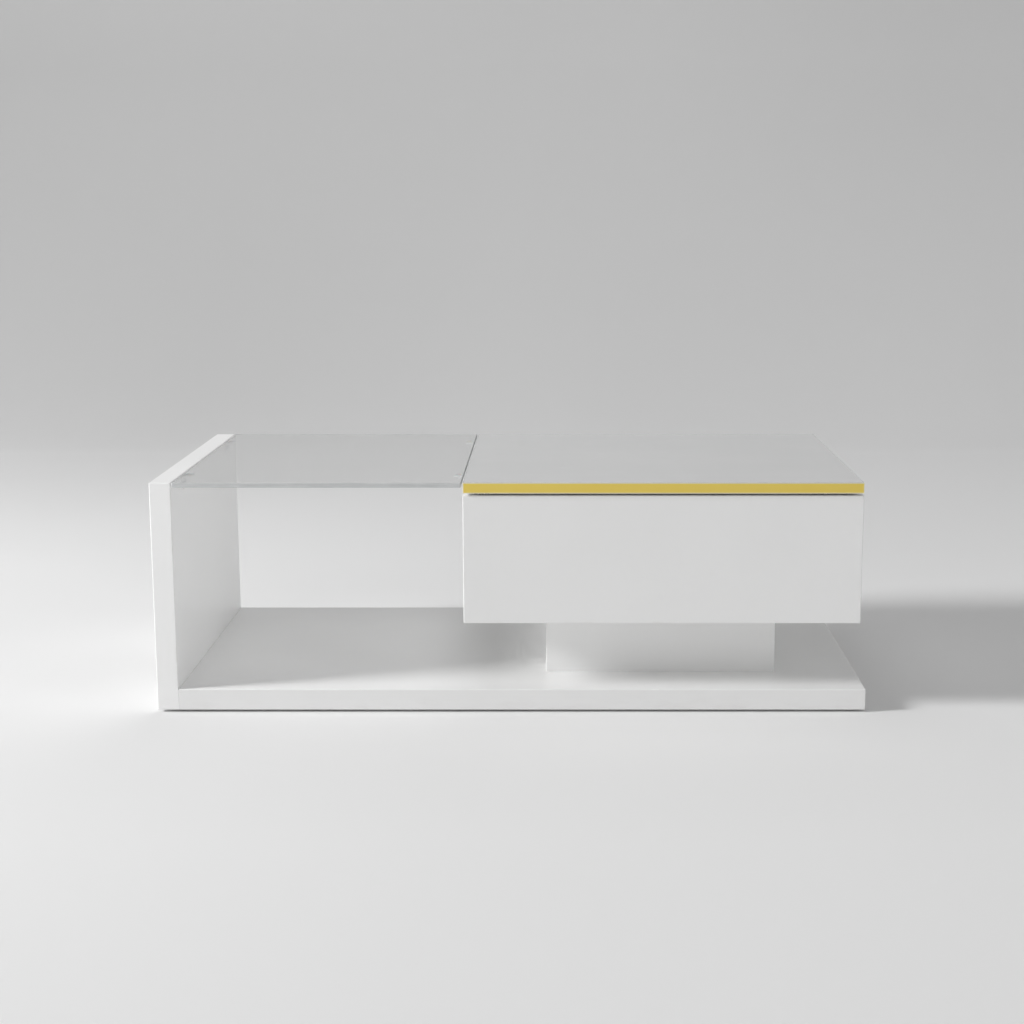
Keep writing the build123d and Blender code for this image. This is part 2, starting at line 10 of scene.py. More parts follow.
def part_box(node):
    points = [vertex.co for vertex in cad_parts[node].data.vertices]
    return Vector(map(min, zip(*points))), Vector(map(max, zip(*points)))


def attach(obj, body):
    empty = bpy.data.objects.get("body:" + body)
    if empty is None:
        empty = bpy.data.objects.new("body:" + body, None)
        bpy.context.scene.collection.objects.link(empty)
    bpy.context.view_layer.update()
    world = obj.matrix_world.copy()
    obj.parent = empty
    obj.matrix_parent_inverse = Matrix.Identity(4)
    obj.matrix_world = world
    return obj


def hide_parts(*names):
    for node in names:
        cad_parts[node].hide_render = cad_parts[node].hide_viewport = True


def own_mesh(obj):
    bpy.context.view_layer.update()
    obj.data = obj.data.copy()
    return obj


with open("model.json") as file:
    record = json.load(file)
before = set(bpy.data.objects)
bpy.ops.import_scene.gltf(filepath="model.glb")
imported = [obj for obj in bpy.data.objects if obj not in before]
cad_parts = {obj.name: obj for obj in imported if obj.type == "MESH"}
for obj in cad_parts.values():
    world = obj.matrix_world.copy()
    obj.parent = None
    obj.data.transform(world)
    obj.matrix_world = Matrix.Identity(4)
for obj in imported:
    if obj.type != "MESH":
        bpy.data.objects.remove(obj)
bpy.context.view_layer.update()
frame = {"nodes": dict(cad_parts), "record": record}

NODES = frame["nodes"]
scene = bpy.context.scene


# =============================================================== camera
cam_data = bpy.data.cameras.new("camera")
cam_data.sensor_width = 36.0
cam_data.sensor_fit = "HORIZONTAL"
cam_data.lens = 62.205
cam_data.shift_x = -0.0456
cam_data.shift_y = 0.0
cam_data.clip_start, cam_data.clip_end = 0.05, 60.0
cam_data.dof.use_dof = False
cam = bpy.data.objects.new("camera", cam_data)
cam.location = (0.0800, -3.1940, 0.8693)
cam.rotation_euler = (math.pi / 2 - 0.1792, 0.0, 0.0)
scene.collection.objects.link(cam)
scene.camera = cam


# =============================================================== node helpers
class Shader:
    """A material with one Principled BSDF and short calls that add nodes."""

    def __init__(self, name):
        self.mat = bpy.data.materials.new(name)
        self.mat.use_nodes = True
        self.nt = self.mat.node_tree
        self.nt.nodes.clear()
        self.out = self.nt.nodes.new("ShaderNodeOutputMaterial")
        self.bsdf = self.nt.nodes.new("ShaderNodeBsdfPrincipled")
        self.nt.links.new(self.bsdf.outputs[0], self.out.inputs["Surface"])
        self.coord = self.nt.nodes.new("ShaderNodeTexCoord").outputs["Object"]

    def put(self, socket, value):
        if isinstance(value, bpy.types.NodeSocket):
            self.nt.links.new(value, socket)
        else:
            socket.default_value = value

    def set(self, **values):
        for name, value in values.items():
            self.put(self.bsdf.inputs[name.replace("_", " ")], value)

    def math(self, op, a, b=0.0, c=0.0, clamp=False):
        n = self.nt.nodes.new("ShaderNodeMath")
        n.operation, n.use_clamp = op, clamp
        for s, v in zip(n.inputs, (a, b, c)):
            self.put(s, v)
        return n.outputs[0]

    def vmath(self, op, a, b=(0.0, 0.0, 0.0)):
        n = self.nt.nodes.new("ShaderNodeVectorMath")
        n.operation = op
        self.put(n.inputs[0], a)
        self.put(n.inputs[1], b)
        return n.outputs[0]

    def split(self, v):
        n = self.nt.nodes.new("ShaderNodeSeparateXYZ")
        self.put(n.inputs[0], v)
        return n.outputs[0], n.outputs[1], n.outputs[2]

    def stretch(self, scale, offset=(0.0, 0.0, 0.0)):
        n = self.nt.nodes.new("ShaderNodeMapping")
        self.nt.links.new(self.coord, n.inputs["Vector"])
        n.inputs["Scale"].default_value = scale
        n.inputs["Location"].default_value = offset
        return n.outputs[0]

    def noise(self, scale, detail=2.0, rough=0.5, vector=None, distortion=0.0):
        n = self.nt.nodes.new("ShaderNodeTexNoise")
        self.nt.links.new(vector or self.coord, n.inputs["Vector"])
        n.inputs["Scale"].default_value = scale
        n.inputs["Detail"].default_value = detail
        n.inputs["Roughness"].default_value = rough
        n.inputs["Distortion"].default_value = distortion
        return n.outputs[0]

    def voronoi(self, scale, vector=None, feature="F1"):
        n = self.nt.nodes.new("ShaderNodeTexVoronoi")
        n.feature = feature
        self.nt.links.new(vector or self.coord, n.inputs["Vector"])
        n.inputs["Scale"].default_value = scale
        return n.outputs["Distance"]

    def wave(self, scale, distortion, detail, vector=None, direction="X"):
        n = self.nt.nodes.new("ShaderNodeTexWave")
        n.bands_direction = direction
        self.nt.links.new(vector or self.coord, n.inputs["Vector"])
        n.inputs["Scale"].default_value = scale
        n.inputs["Distortion"].default_value = distortion
        n.inputs["Detail"].default_value = detail
        return n.outputs["Fac"]

    def remap(self, v, a, b, c=0.0, d=1.0):
        n = self.nt.nodes.new("ShaderNodeMapRange")
        for s, x in zip(n.inputs, (v, a, b, c, d)):
            self.put(s, x)
        return n.outputs[0]

    def mix(self, fac, a, b):
        n = self.nt.nodes.new("ShaderNodeMix")
        n.data_type = "RGBA"
        self.put(n.inputs[0], fac)
        self.put(n.inputs[6], (*a, 1.0) if isinstance(a, tuple) else a)
        self.put(n.inputs[7], (*b, 1.0) if isinstance(b, tuple) else b)
        return n.outputs[2]

    def ramp(self, v, a, b, stops):
        """Grey tone along v, which is 0 to 1 over a to b, through the stops (place, tone)."""
        n = self.nt.nodes.new("ShaderNodeValToRGB")
        n.color_ramp.interpolation = "LINEAR"
        while len(n.color_ramp.elements) < len(stops):
            n.color_ramp.elements.new(0.5)
        places = [(place - a) / (b - a) for place, tone in stops]
        for i, (place, (_, tone)) in enumerate(zip(places, stops)):
            n.color_ramp.elements[i].position = place
            n.color_ramp.elements[i].color = (tone, tone, tone, 1.0)
        self.put(n.inputs[0], v)
        return n.outputs[0]

    def bump(self, height, strength, distance, normal=None):
        n = self.nt.nodes.new("ShaderNodeBump")
        n.inputs["Strength"].default_value = strength
        n.inputs["Distance"].default_value = distance
        self.nt.links.new(height, n.inputs["Height"])
        if normal is not None:
            self.nt.links.new(normal, n.inputs["Normal"])
        return n.outputs[0]

    def normal_axes(self):
        n = self.nt.nodes.new("ShaderNodeTexCoord")
        return self.split(n.outputs["Normal"])

    def edge(self, lo, hi, width):
        """1 on the edges of the box lo-hi, falling to 0 at width from them."""
        a = self.vmath("SUBTRACT", self.coord, tuple(lo))
        b = self.vmath("SUBTRACT", tuple(hi), self.coord)
        x, y, z = self.split(self.vmath("MINIMUM", a, b))
        small, large = self.math("MINIMUM", x, y), self.math("MAXIMUM", x, y)
        middle = self.math("MAXIMUM", small, self.math("MINIMUM", large, z))
        return self.remap(middle, 0.0, width, 1.0, 0.0)


def tint(c, k):
    return tuple(min(1.0, v * k) for v in c)


# =============================================================== materials
WHITE = (0.915, 0.915, 0.912)


def lacquer(node, base=WHITE, rough=0.36, gloss=0.25):
    """Sprayed white lacquer on fibreboard: faint orange peel, mottling, rubbed edges, floor dust."""
    s = Shader(node + "_lacquer")
    lo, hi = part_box(node)
    cloud = s.remap(s.noise(2.6, 3.0, 0.55), 0.35, 0.65)
    fleck = s.remap(s.noise(70.0, 3.0, 0.6), 0.3, 0.7)
    col = s.mix(cloud, tint(base, 0.982), tint(base, 1.006))
    col = s.mix(s.math("MULTIPLY", fleck, 0.10), col, tint(base, 0.95))
    # edges: lacquer is thinner and rubbed in patches
    edge = s.edge(lo, hi, 0.0045)
    patch = s.remap(s.noise(28.0, 4.0, 0.65), 0.50, 0.66)
    rub = s.math("MULTIPLY", edge, patch, clamp=True)
    calm = 0.20 if gloss > 0.3 else 1.0
    col = s.mix(s.math("MULTIPLY", rub, 0.35 * calm), col, (0.78, 0.765, 0.735))
    # dust and scuffs near the floor
    x, y, z = s.split(s.coord)
    low = s.remap(z, 0.004, 0.030, 1.0, 0.0)
    scuff = s.remap(s.noise(16.0, 5.0, 0.7, s.stretch((1.0, 1.0, 4.0))), 0.48, 0.72)
    col = s.mix(s.math("MULTIPLY", s.math("MULTIPLY", low, scuff), 0.22), col, (0.64, 0.62, 0.59))
    # hairline scratches only change the gloss
    hair = s.remap(s.noise(9.0, 1.0, 0.4, s.stretch((0.6, 34.0, 34.0), (0.3, 0.1, 0.7)), 0.4), 0.62, 0.70)
    smudge = s.remap(s.noise(5.5, 4.0, 0.6, s.stretch((1.0, 1.0, 1.0), (3.1, 1.7, 0.4))), 0.35, 0.68)
    r = s.math("ADD", s.math("MULTIPLY", smudge, 0.075 * calm), rough - 0.035 * calm)
    r = s.math("ADD", r, s.math("MULTIPLY", rub, 0.16 * calm))
    r = s.math("ADD", r, s.math("MULTIPLY", hair, 0.05 if calm == 1.0 else 0.0))
    peel = s.noise(330.0, 2.0, 0.5)
    grain = s.noise(1600.0, 1.0, 0.5)
    n1 = s.bump(peel, 0.10, 0.00035)
    n2 = s.bump(grain, 0.05, 0.00008, n1)
    s.set(Base_Color=col, Roughness=r, IOR=1.49, Specular_IOR_Level=gloss, Normal=n2)
    return s.mat


def melamine():
    """Melamine-faced board with a fine pearl texture."""
    s = Shader("white_melamine")
    col = s.mix(s.remap(s.noise(4.0, 3.0, 0.6), 0.35, 0.65), (0.815, 0.815, 0.805), (0.835, 0.834, 0.826))
    dust = s.remap(s.noise(240.0, 2.0, 0.7), 0.60, 0.74)
    col = s.mix(s.math("MULTIPLY", dust, 0.10), col, (0.62, 0.60, 0.57))
    pearl = s.math("ADD", s.voronoi(620.0), s.math("MULTIPLY", s.noise(900.0, 2.0), 0.5))
    r = s.remap(s.noise(30.0, 3.0), 0.3, 0.7, 0.42, 0.54)
    s.set(Base_Color=col, Roughness=r, IOR=1.48, Normal=s.bump(pearl, 0.22, 0.00012))
    return s.mat


def clear_glass():
    """Float glass: clear faces with faint wipe marks, ground and polished grey-green edges."""
    s = Shader("clear_glass")
    nx, ny, nz = s.normal_axes()
    side = s.remap(s.math("ABSOLUTE", nz), 0.25, 0.75, 1.0, 0.0)
    streak = s.noise(3.0, 3.0, 0.6, s.stretch((1.0, 5.0, 1.0), (0.4, 0.9, 0.0)), 0.8)
    face = s.mix(s.remap(streak, 0.35, 0.65), (0.962, 0.967, 0.966), (0.980, 0.983, 0.982))
    rim = s.mix(s.remap(s.noise(120.0, 2.0), 0.35, 0.65), (0.68, 0.73, 0.72), (0.74, 0.78, 0.77))
    wipe = s.remap(s.noise(2.2, 4.0, 0.65, s.stretch((1.0, 3.0, 1.0), (5.0, 2.0, 0.0)), 0.6), 0.52, 0.70)
    r = s.math("ADD", s.math("MULTIPLY", wipe, 0.035), 0.006)
    r = s.math("ADD", r, s.math("MULTIPLY", side, s.remap(s.noise(500.0, 1.0), 0.3, 0.7, 0.06, 0.12)))
    s.set(Base_Color=s.mix(side, face, rim), Roughness=r, IOR=1.50, Transmission_Weight=1.0,
          Normal=s.bump(s.noise(7.0, 1.0), 0.02, 0.0004))
    return s.mat


def glass_edge(name, shade=0.0, matt=0.0, gloss=0.5):
    """Ground and polished edge of the clear glass, pale grey and half clear."""
    s = Shader(name)
    deep = s.remap(s.noise(1.0, 3.0, 0.6, s.stretch((26.0, 26.0, 260.0))), 0.35, 0.68)
    nx, ny, nz = s.normal_axes()
    col = s.mix(deep, (0.555, 0.570, 0.572), (0.640, 0.650, 0.652))
    nick = s.remap(s.noise(260.0, 3.0, 0.7), 0.62, 0.76)
    col = s.mix(s.math("MULTIPLY", nick, 0.35), col, (0.75, 0.76, 0.76))
    # painted shade: the shade argument darkens the edge towards near-black, used on the edge that faces the lid
    # across the gap
    col = s.mix(shade, col, (0.16, 0.17, 0.17))
    # painted highlight: faces that slope up and back are lightened to a pale line along the rear edge
    col = s.mix(s.math("MULTIPLY", s.remap(ny, 0.3, 0.6), s.remap(nz, 0.3, 0.6)), col, (0.86, 0.87, 0.87))
    r = s.math("ADD", s.remap(deep, 0.0, 1.0, 0.10, 0.22), s.math("MULTIPLY", nick, 0.25))
    r = s.math("ADD", r, matt)
    s.set(Base_Color=col, Roughness=r, IOR=1.50, Specular_IOR_Level=gloss,
          Normal=s.bump(s.noise(1.0, 2.0, 0.5, s.stretch((90.0, 90.0, 1400.0))), 0.12, 0.00010))
    return s.mat


def grey_glass(name="grey_glass", gap=False):
    """Back-painted light grey glass: even paint seen through a glossy face with faint wipe marks."""
    s = Shader(name)
    lo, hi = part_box("lid_glass")
    nx, ny, nz = s.normal_axes()
    side = s.remap(s.math("ABSOLUTE", nz), 0.80, 0.96, 1.0, 0.0)
    paint = s.mix(s.remap(s.noise(3.2, 3.0, 0.6), 0.35, 0.65), (0.715, 0.718, 0.718), (0.740, 0.742, 0.741))
    mist = s.remap(s.noise(420.0, 2.0, 0.6), 0.55, 0.75)
    paint = s.mix(s.math("MULTIPLY", mist, 0.06), paint, (0.70, 0.70, 0.70))
    rim = s.mix(s.remap(s.noise(150.0, 2.0), 0.35, 0.65), (0.235, 0.250, 0.250), (0.285, 0.300, 0.300))
    edge = s.edge(lo, hi, 0.003)
    col = s.mix(s.math("MULTIPLY", edge, 0.5), paint, (0.62, 0.65, 0.64))
    # painted highlight: the rear-facing rim is lightened to a pale line
    rim = s.mix(s.remap(ny, 0.3, 0.6), rim, (0.80, 0.81, 0.81))
    # painted shade: the edge that faces the shelf is darkened to near-black to stand for the shade in the gap
    if gap:                           # ground edge that faces the clear shelf
        rim = s.mix(0.85, rim, (0.17, 0.18, 0.18))
    col = s.mix(side, col, rim)
    wipe = s.remap(s.noise(2.4, 4.0, 0.62, s.stretch((3.0, 1.0, 1.0), (1.0, 7.0, 0.0)), 0.7), 0.50, 0.70)
    prints = s.remap(s.noise(24.0, 3.0, 0.6), 0.60, 0.72)
    r = s.math("ADD", s.math("MULTIPLY", wipe, 0.05), 0.055)
    r = s.math("ADD", r, s.math("MULTIPLY", prints, 0.05))
    r = s.math("ADD", r, s.math("MULTIPLY", side, 0.10))
    if gap:
        r = s.math("ADD", r, 0.35)
    s.set(Base_Color=col, Roughness=r, IOR=1.50, Specular_IOR_Level=0.04 if gap else 0.5,
          Normal=s.bump(s.noise(6.0, 1.0), 0.02, 0.0004))
    return s.mat


def brass():
    """Brushed brass strip, brushed along its length, slightly toned in patches."""
    s = Shader("brass")
    lo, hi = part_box("gold_trim")
    tone = s.remap(s.noise(5.0, 4.0, 0.6), 0.35, 0.68)
    line = s.noise(1.0, 3.0, 0.6, s.stretch((9.0, 1500.0, 1500.0)))
    line2 = s.noise(1.0, 2.0, 0.6, s.stretch((35.0, 4200.0, 4200.0), (0.2, 0.6, 0.1)))
    col = s.mix(tone, (1.0, 0.765, 0.170), (1.0, 0.785, 0.190))
    col = s.mix(s.math("MULTIPLY", s.remap(line, 0.35, 0.7), 0.12), col, (0.88, 0.650, 0.130))
    # painted highlight: a near-white line along the strip's edges
    edge = s.math("MULTIPLY", s.edge(lo, hi, 0.0020), 1.4, clamp=True)
    col = s.mix(edge, col, (1.0, 0.955, 0.78))
    r = s.math("ADD", s.remap(line2, 0.3, 0.7, 0.28, 0.38), s.math("MULTIPLY", tone, 0.05))
    s.set(Base_Color=col, Roughness=r, Metallic=1.0,
          Normal=s.bump(s.math("ADD", line, s.math("MULTIPLY", line2, 0.5)), 0.10, 0.00012))
    return s.mat


def powder(name, dark, light, rough):
    """Powder-coated steel: fine leather-like peel, faint rub marks."""
    s = Shader(name)
    blotch = s.remap(s.noise(14.0, 4.0, 0.6), 0.35, 0.68)
    col = s.mix(blotch, dark, light)
    rub = s.remap(s.noise(55.0, 5.0, 0.7, s.stretch((1.0, 0.35, 1.0))), 0.64, 0.76)
    col = s.mix(s.math("MULTIPLY", rub, 0.30), col, tuple(min(1.0, v * 1.25 + 0.05) for v in light))
    r = s.math("ADD", s.remap(s.noise(40.0, 3.0), 0.3, 0.7, rough - 0.06, rough + 0.07),
               s.math("MULTIPLY", rub, -0.12))
    peel = s.math("ADD", s.noise(1100.0, 2.0, 0.5), s.math("MULTIPLY", s.voronoi(700.0), 0.35))
    s.set(Base_Color=col, Roughness=r, IOR=1.5, Normal=s.bump(peel, 0.30, 0.00016))
    return s.mat


def metal(name, dark, light, rough, grain=900.0, bump=0.10, stretch=(1.0, 1.0, 1.0)):
    """Bare or plated metal with cloudy tone, fine grain and small marks."""
    s = Shader(name)
    cloud = s.remap(s.noise(60.0, 4.0, 0.6), 0.32, 0.68)
    col = s.mix(cloud, dark, light)
    spot = s.remap(s.noise(420.0, 3.0, 0.7), 0.60, 0.74)
    col = s.mix(s.math("MULTIPLY", spot, 0.35), col, tint(dark, 0.72))
    fine = s.noise(grain, 3.0, 0.6, s.stretch(stretch))
    r = s.math("ADD", s.remap(fine, 0.3, 0.7, rough - 0.06, rough + 0.08), s.math("MULTIPLY", spot, 0.12))
    s.set(Base_Color=col, Roughness=r, Metallic=1.0, Normal=s.bump(fine, bump, 0.00010))
    return s.mat


def beech(name, along):
    """Raw beech: soft rings, short dark flecks along the grain."""
    s = Shader(name)
    k = [1.0, 1.0, 1.0]
    k["xyz".index(along)] = 0.09
    v = s.stretch(tuple(k))
    rings = s.wave(95.0, 5.0, 3.0, v, "Y" if along != "y" else "X")
    fibre = s.noise(700.0, 3.0, 0.6, v)
    col = s.mix(s.remap(rings, 0.1, 0.9), (0.56, 0.375, 0.215), (0.665, 0.475, 0.30))
    fleck = s.remap(s.noise(1500.0, 2.0, 0.6, s.stretch(tuple(0.16 if q < 1 else 1.0 for q in k))), 0.60, 0.70)
    col = s.mix(s.math("MULTIPLY", fleck, 0.45), col, (0.33, 0.19, 0.10))
    col = s.mix(s.math("MULTIPLY", s.remap(fibre, 0.3, 0.7), 0.25), col, (0.74, 0.56, 0.38))
    r = s.remap(fibre, 0.3, 0.7, 0.52, 0.68)
    s.set(Base_Color=col, Roughness=r, IOR=1.45, Normal=s.bump(fibre, 0.35, 0.00015))
    return s.mat


def plastic(name, dark, light, rough, bump=0.15, soft=0.0):
    """Moulded plastic or rubber: faint flow marks, satin speckle."""
    s = Shader(name)
    flow = s.noise(40.0, 4.0, 0.6, None, 1.2)
    col = s.mix(s.remap(flow, 0.35, 0.65), dark, light)
    dirt = s.remap(s.noise(310.0, 3.0, 0.7), 0.60, 0.75)
    col = s.mix(s.math("MULTIPLY", dirt, 0.28), col, tint(dark, 0.62))
    fine = s.noise(1400.0, 2.0, 0.55)
    r = s.remap(s.noise(95.0, 3.0), 0.3, 0.7, rough - 0.06, rough + 0.08)
    s.set(Base_Color=col, Roughness=r, IOR=1.47, Normal=s.bump(fine, bump, 0.00010))
    if soft:
        s.set(Subsurface_Weight=soft, Subsurface_Scale=0.002)
    return s.mat


SLOT = {}
for row in frame["record"]["subparts"]:
    SLOT[row["node"]] = row["material_slot"]

shared = {
    "white_melamine": melamine(),
    "clear_glass": clear_glass(),
    "grey_glass": grey_glass(),
    "brass": brass(),
    "glide_plastic": plastic("glide_plastic", (0.40, 0.40, 0.395), (0.48, 0.48, 0.47), 0.48),
    "zinc_cast": metal("zinc_cast", (0.40, 0.41, 0.43), (0.55, 0.56, 0.57), 0.44, 700.0, 0.30),
    "zinc_steel": metal("zinc_steel", (0.54, 0.56, 0.60), (0.68, 0.69, 0.70), 0.30, 1100.0, 0.08),
    "white_steel": powder("white_steel", (0.905, 0.905, 0.900), (0.930, 0.930, 0.925), 0.40),
    "black_steel": powder("black_steel", (0.020, 0.020, 0.021), (0.034, 0.034, 0.036), 0.46),
    "clear_rubber": plastic("clear_rubber", (0.70, 0.71, 0.71), (0.79, 0.80, 0.80), 0.38, 0.08, 0.40),
    "nylon": plastic("nylon", (0.70, 0.70, 0.66), (0.80, 0.80, 0.76), 0.40, 0.10, 0.20),
    "spring_steel": metal("spring_steel", (0.16, 0.16, 0.165), (0.30, 0.30, 0.305), 0.34, 1300.0, 0.10),
}
# per-board whites as painted light and shade: the side panel and the plinth's front, right and back are painted
# lighter, the base plate and the plinth's left face darker, one lacquer shown as lit and shaded copies
PAINTED_LIGHT_WHITES = {
    "side_panel": (0.975, 0.975, 0.972),
    "base_plate": (0.908, 0.908, 0.905),
    "pedestal_front": (0.970, 0.970, 0.967),
    "pedestal_left": (0.910, 0.910, 0.907),
    "pedestal_right": (0.970, 0.970, 0.967),
    "pedestal_back": (0.970, 0.970, 0.967),
}
wood_x, wood_z = beech("beech_along_x", "x"), beech("beech_upright", "z")

for name, obj in NODES.items():
    kind = SLOT[name]
    if kind == "white_lacquer":
        # painted light and shade: boards in the table of per-board whites get a lighter or darker white
        mat = lacquer(name, PAINTED_LIGHT_WHITES.get(name, WHITE), *((0.25, 0.55) if name == "base_plate" else ()))
    elif kind == "beech":
        mat = wood_z if name == "pedestal_corner_blocks" else wood_x
    else:
        mat = shared[kind]
    obj.data.materials.clear()
    obj.data.materials.append(mat)

# the shelf's faces are clear, its four ground edges are not
shelf, lid_top = NODES["glass_shelf"], NODES["lid_glass"]
shelf.data.materials.append(glass_edge("glass_edge"))
# the edge facing the lid is a copy darkened with painted shade (0.15), rougher and without reflection
shelf.data.materials.append(glass_edge("glass_edge_gap", 0.15, 0.4, 0.0))
for p in shelf.data.polygons:
    p.material_index = (2 if p.normal.x > 0.5 else 1) if abs(p.normal.z) < 0.9 else 0
# the lid glass's edge facing the shelf gets the copy darkened with painted shade
lid_top.data.materials.append(grey_glass("grey_glass_gap", True))
for p in lid_top.data.polygons:
    p.material_index = 1 if p.normal.x < -0.5 else 0
# clear glass lets the studio light through to what lies under it
shelf.visible_shadow = False
shelf.visible_diffuse = False


# =============================================================== springs
def tube(name, points, radius, sides=10, ring_scale=(1.0, 1.0, 1.0), closed=False):
    """Round wire along a line of points, as a mesh with capped ends."""
    pts = [Vector(p) for p in points]
    n = len(pts)
    tangents = []
    for i in range(n):
        a = pts[(i - 1) % n] if closed or i > 0 else pts[0]
        b = pts[(i + 1) % n] if closed or i < n - 1 else pts[-1]
        tangents.append((b - a).normalized())
    up = Vector((1.0, 0.0, 0.0))
    if abs(up.dot(tangents[0])) > 0.9:
        up = Vector((0.0, 0.0, 1.0))
    side = (up - tangents[0] * up.dot(tangents[0])).normalized()
    bm = bmesh.new()
    rings = []
    for i in range(n):
        if i:
            side = side - tangents[i] * side.dot(tangents[i])
            side.normalize()
        other = tangents[i].cross(side)
        ring = []
        for k in range(sides):
            a = 2 * math.pi * k / sides
            d = side * math.cos(a) * radius + other * math.sin(a) * radius
            ring.append(bm.verts.new(pts[i] + Vector(d[j] * ring_scale[j] for j in range(3))))
        rings.append(ring)
    last = n if closed else n - 1
    for i in range(last):
        r0, r1 = rings[i], rings[(i + 1) % n]
        for k in range(sides):
            bm.faces.new((r0[k], r0[(k + 1) % sides], r1[(k + 1) % sides], r1[k]))
    if not closed:
        bm.faces.new(list(reversed(rings[0])))
        bm.faces.new(rings[-1])
    bmesh.ops.recalc_face_normals(bm, faces=bm.faces)
    mesh = bpy.data.meshes.new(name)
    bm.to_mesh(mesh)
    bm.free()
    for p in mesh.polygons:
        p.use_smooth = True
    obj = bpy.data.objects.new(name, mesh)
    scene.collection.objects.link(obj)
    return obj


WIRE_R = 0.00125
COIL_R = 0.00775
EYE_R = 0.0046
PIN_Y, PIN_Z = -0.16795, 0.27082      # pin on the rear arm, lid closed
ANCHOR_Y = 0.100                      # pin on the base bracket
COIL_Y0, COIL_Y1 = -0.1500, 0.0820
TURNS = 65


def spring(side, x):
    """Close-wound tension spring between the arm's pin and the bracket's pin."""
    y_start, y_end = PIN_Y + EYE_R, ANCHOR_Y - EYE_R
    pts = [(x, y_start + (COIL_Y0 - 0.004 - y_start) * t, PIN_Z) for t in np.linspace(0, 1, 5)]
    swing = 16                        # points while the wire swings out to the coil
    for i in range(1, swing):
        t = i / swing
        r = COIL_R * math.sin(t * math.pi / 2)
        a = -math.pi * 1.5 * (1 - t)
        pts.append((x + r * math.cos(a), COIL_Y0 - 0.004 * (1 - t), PIN_Z + r * math.sin(a)))
    steps = TURNS * 22
    for i in range(steps + 1):
        t = i / steps
        a = 2 * math.pi * TURNS * t
        pts.append((x + COIL_R * math.cos(a), COIL_Y0 + (COIL_Y1 - COIL_Y0) * t, PIN_Z + COIL_R * math.sin(a)))
    for i in range(1, swing):
        t = i / swing
        r = COIL_R * math.cos(t * math.pi / 2)
        a = math.pi * 1.5 * t
        pts.append((x + r * math.cos(a), COIL_Y1 + 0.004 * t, PIN_Z + r * math.sin(a)))
    pts += [(x, COIL_Y1 + 0.004 + (y_end - COIL_Y1 - 0.004) * t, PIN_Z) for t in np.linspace(0, 1, 5)]
    coil = tube(side + "_spring_coil", pts, WIRE_R, 9, (1.0, 1.15, 1.0))
    eyes = []
    for tag, y in (("arm", PIN_Y), ("anchor", ANCHOR_Y)):
        ring = [(x, y + EYE_R * math.cos(a), PIN_Z + EYE_R * math.sin(a))
                for a in np.linspace(0, 2 * math.pi, 40, endpoint=False)]
        eyes.append(tube(side + "_spring_eye_" + tag, ring, WIRE_R, 12, closed=True))
    for o in (coil, *eyes):
        o.data.materials.append(shared["spring_steel"])
    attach(coil, "stand")
    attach(eyes[0], "rear_arms")
    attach(eyes[1], "stand")
    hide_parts(side + "_spring")
    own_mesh(coil)


spring("left", -0.042)
spring("right", 0.550)


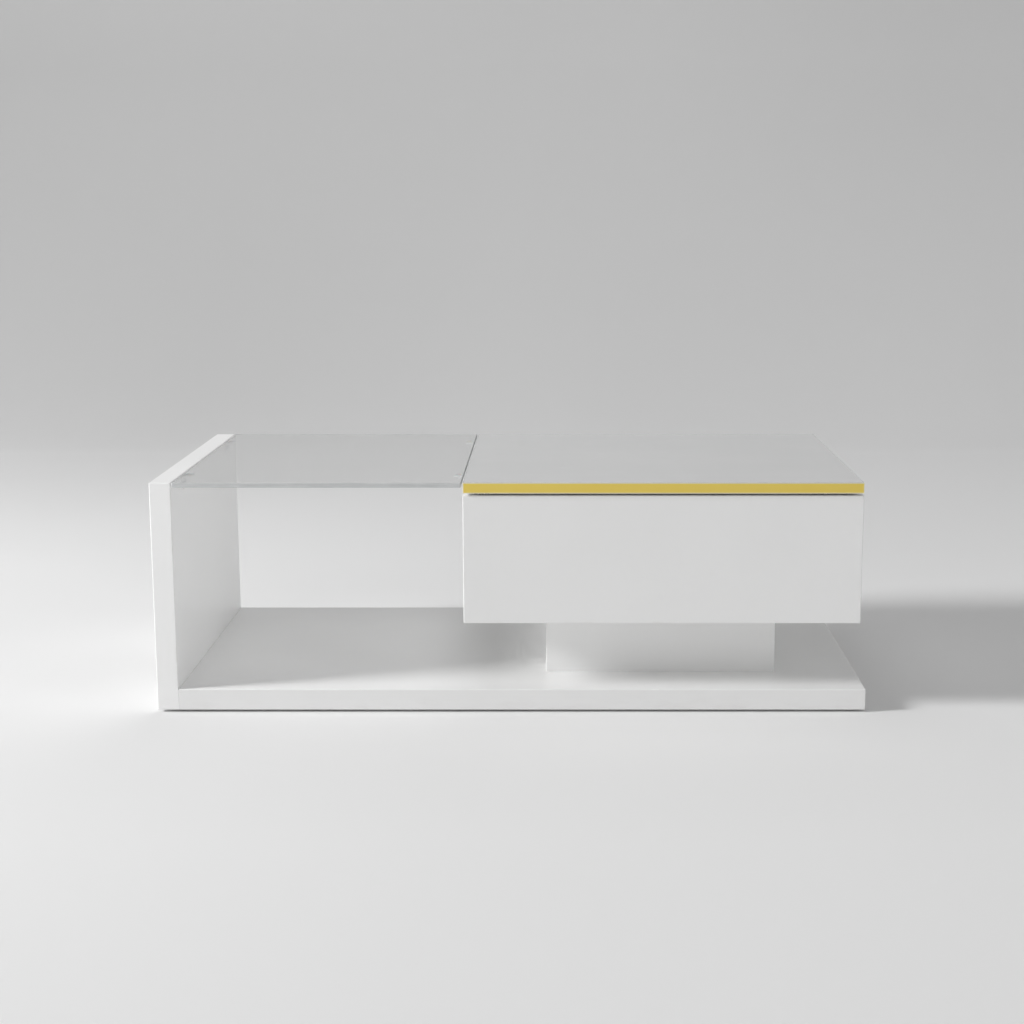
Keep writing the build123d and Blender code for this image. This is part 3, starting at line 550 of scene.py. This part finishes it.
# =============================================================== stage
def cyclorama():
    """Pale floor that sweeps up into walls on all sides, its paint carrying painted light and shade."""
    x0, x1, y0, y1 = -8.6, 5.4, -4.6, 2.7       # flat part of the floor
    corner, sweep, top = 1.2, 1.7, 4.6
    outline = []
    for cx, cy, a0 in ((x1 - corner, y1 - corner, 0.0), (x0 + corner, y1 - corner, 90.0),
                       (x0 + corner, y0 + corner, 180.0), (x1 - corner, y0 + corner, 270.0)):
        for k in range(17):
            a = math.radians(a0 + 90.0 * k / 16)
            outline.append((cx + corner * math.cos(a), cy + corner * math.sin(a), math.cos(a), math.sin(a)))
    profile = [(0.0, 0.0)]
    for k in range(1, 33):
        a = math.pi / 2 * k / 32
        profile.append((sweep * math.sin(a), sweep * (1 - math.cos(a))))
    profile.append((sweep, top))
    bm = bmesh.new()
    rings = [[bm.verts.new((px + nx * s, py + ny * s, z)) for px, py, nx, ny in outline] for s, z in profile]
    bm.faces.new(rings[0])
    count = len(outline)
    for r0, r1 in zip(rings, rings[1:]):
        for k in range(count):
            j = (k + 1) % count
            bm.faces.new((r0[k], r1[k], r1[j], r0[j]))
    bmesh.ops.recalc_face_normals(bm, faces=bm.faces)
    mesh = bpy.data.meshes.new("stage_floor")
    bm.to_mesh(mesh)
    bm.free()
    for p in mesh.polygons:
        p.use_smooth = True
    obj = bpy.data.objects.new("stage_floor", mesh)
    scene.collection.objects.link(obj)
    s = Shader("stage_paint")
    x, y, z = s.split(s.coord)
    cloud = s.remap(s.noise(1.3, 3.0), 0.3, 0.7, -0.006, 0.006)
    # painted shade: the floor is painted darker towards the left, where the key light falls strongest, and the
    # walls darker than the floor and darker towards the left; cloud is faint random tone
    low = s.mix(s.math("ADD", s.remap(x, -1.3, 1.3), cloud), (0.835, 0.835, 0.835), (0.925, 0.925, 0.925))
    high = s.mix(s.math("ADD", s.remap(x, -2.2, 2.2), cloud), (0.452, 0.452, 0.452), (0.700, 0.700, 0.700))
    rise = s.math("SQRT", s.math("SQRT", s.math("MAXIMUM", z, 0.0)))
    col = s.mix(s.remap(rise, 0.15, 1.08), low, high)
    # tone along the sweep: left, middle and right, painted light and shade that lifts or lowers bands of the
    # floor and walls
    way = s.remap(s.math("ADD", y, z), -1.6, 6.4)
    left = s.ramp(way, -1.6, 6.4, ((-1.45, 0.986), (-0.95, 1.02), (-0.65, 1.005), (-0.15, 0.975), (0.25, 1.005),
                                   (0.55, 1.045), (0.90, 1.042), (1.40, 1.005), (1.80, 0.963), (2.20, 0.932),
                                   (2.70, 0.916), (3.60, 0.918), (4.30, 0.940), (4.90, 0.966), (5.50, 1.004),
                                   (6.00, 1.022)))
    mid = s.ramp(way, -1.6, 6.4, ((-1.45, 0.975), (-0.90, 0.985), (-0.45, 0.940), (0.40, 0.985), (2.70, 1.000), (4.30, 0.996), (4.74, 1.007),
                                  (5.13, 1.008), (5.50, 1.014), (5.80, 1.020), (6.00, 1.002)))
    right = s.ramp(way, -1.6, 6.4, ((-1.45, 0.965), (-0.70, 1.000), (0.30, 1.015), (1.20, 1.020), (2.70, 1.030),
                                    (3.20, 1.052), (3.70, 1.040), (4.30, 1.022), (4.74, 1.012), (5.13, 0.998),
                                    (5.50, 0.978), (5.80, 0.972), (6.00, 0.945)))
    tone = s.mix(s.remap(x, -1.25, -0.10), left, mid)
    tone = s.mix(s.remap(x, 0.45, 1.60), tone, right)
    # painted shade: a dark patch on the floor beside the side panel, where the key light and the panel's bounce
    # make it brightest
    r2 = s.math("ADD", s.math("POWER", s.math("ABSOLUTE", s.math("MULTIPLY", s.math("ADD", x, 0.66), 5.0)), 2.0),
                s.math("POWER", s.math("ABSOLUTE", s.math("MULTIPLY", y, 3.85)), 2.0))
    spot = s.math("POWER", 2.7183, s.math("MULTIPLY", r2, -1.0))
    col = s.vmath("MULTIPLY", col, tone)
    col = s.vmath("MULTIPLY", col, s.mix(s.math("MULTIPLY", spot, 0.18), (1.0, 1.0, 1.0), (0.0, 0.0, 0.0)))
    s.set(Base_Color=col, Roughness=s.remap(s.noise(40.0, 2.0), 0.3, 0.7, 0.78, 0.86), IOR=1.3,
          Normal=s.bump(s.noise(900.0, 2.0), 0.05, 0.0002))
    mesh.materials.append(s.mat)


cyclorama()


# =============================================================== light
def area(name, place, target, size, watts, spread=180.0):
    data = bpy.data.lights.new(name, "AREA")
    data.shape = "DISK"
    data.size = size
    data.energy = watts
    data.spread = math.radians(spread)
    obj = bpy.data.objects.new(name, data)
    obj.location = place
    obj.rotation_euler = (Vector(target) - Vector(place)).to_track_quat("-Z", "Y").to_euler()
    obj.visible_camera = False
    scene.collection.objects.link(obj)


LIGHTS = [
    ("key_light", (-6.60, -1.62, 3.42), (0.0, 0.0, 0.2), 1.8, 534.0),
    ("right_fill", (3.20, -2.60, 2.60), (0.0, 0.0, 0.2), 1.6, 20.0),
    ("top_fill", (-0.50, 0.20, 4.60), (-0.4, 0.0, 0.0), 3.0, 26.6),
]
WORLD_W = 0.178
for row in LIGHTS:
    if row[4]:
        area(*row)

world = bpy.data.worlds.new("studio")
world.use_nodes = True
world.node_tree.nodes["Background"].inputs["Color"].default_value = (1.0, 1.0, 1.0, 1.0)
world.node_tree.nodes["Background"].inputs["Strength"].default_value = WORLD_W
scene.world = world

scene.view_settings.view_transform = "Standard"
scene.view_settings.look = "None"
scene.view_settings.exposure = 0.0
scene.view_settings.gamma = 1.0
scene.cycles.max_bounces = 12
scene.cycles.diffuse_bounces = 6
scene.cycles.glossy_bounces = 6
scene.cycles.transmission_bounces = 10
scene.cycles.use_denoising = True
